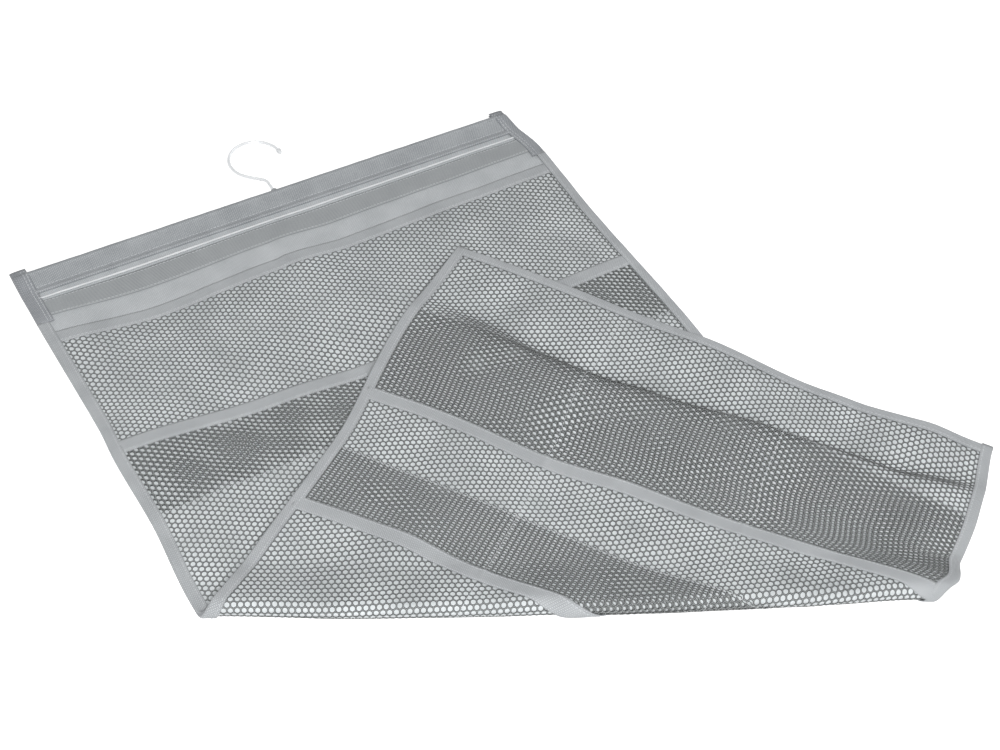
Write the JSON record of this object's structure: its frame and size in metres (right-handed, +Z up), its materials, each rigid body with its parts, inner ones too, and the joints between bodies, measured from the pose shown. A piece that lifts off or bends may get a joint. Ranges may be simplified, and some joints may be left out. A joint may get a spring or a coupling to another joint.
{
  "type": "hanging mesh shoe organizer",
  "caption": "Hanging mesh shoe organizer with lapped pockets on both faces, a bar sleeve and a swivel hook, laid flat with its lower corner folded over.",
  "frame": {"origin": "under the middle of the laid-out object's box, on the surface that it lies on", "axes": "+Z up, +Y along the cloth towards the hook, +X across the cloth to the right as seen from the front face"},
  "size_m": [0.5882, 0.6638, 0.0106],
  "materials": {
    "steel_wire": "bright zinc-plated steel wire",
    "clear_plastic": "clear moulded tip cap",
    "bar_steel": "grey painted steel tube",
    "cap_plastic": "soft plastic end cap",
    "edge_tape": "woven grey binding tape",
    "grey_cloth": "plain grey coated cloth",
    "closure_tape": "ribbed grey closure tape",
    "white_piping": "glossy white piping",
    "pale_lining": "pale non-woven lining",
    "thread": "polyester sewing thread",
    "hex_mesh": "open hexagonal knitted mesh"
  },
  "bodies": {
    "organizer": {"shank_washer": "steel_wire", "hanger_bar": "bar_steel", "bar_end_cap_left": "cap_plastic", "bar_end_cap_right": "cap_plastic", "hook_eyelet": "edge_tape", "sleeve": "grey_cloth", "sleeve_end_left": "edge_tape", "sleeve_end_right": "edge_tape", "closure_loop_tape": "closure_tape", "closure_hook_tape": "closure_tape", "closure_piping": "white_piping", "yoke_front": "grey_cloth", "yoke_back": "grey_cloth", "middle_panel": "pale_lining", "side_binding_left": "edge_tape", "side_binding_right": "edge_tape", "bottom_binding": "edge_tape", "front_divider_seam": "thread", "back_divider_seams": "thread", "front_pocket_1": "hex_mesh", "front_mouth_tape_1": "edge_tape", "front_pocket_2": "hex_mesh", "front_mouth_tape_2": "edge_tape", "front_pocket_3": "hex_mesh", "front_mouth_tape_3": "edge_tape", "front_pocket_4": "hex_mesh", "front_mouth_tape_4": "edge_tape", "back_pocket_1": "hex_mesh", "back_mouth_tape_1": "edge_tape", "back_pocket_2": "hex_mesh", "back_mouth_tape_2": "edge_tape", "back_pocket_3": "hex_mesh", "back_mouth_tape_3": "edge_tape", "back_pocket_4": "hex_mesh", "back_mouth_tape_4": "edge_tape"},
    "hook": {"hook_wire": "steel_wire", "hook_tip_cap": "clear_plastic", "shank_stop_head": "steel_wire"}
  },
  "joints": [
    {"name": "hook_swivel", "type": "hinge", "parent": "organizer", "child": "hook", "pos_m": [-0.06694, 0.26637, 0.0049], "axis": [0, 1, 0], "continuous": true}
  ]
}
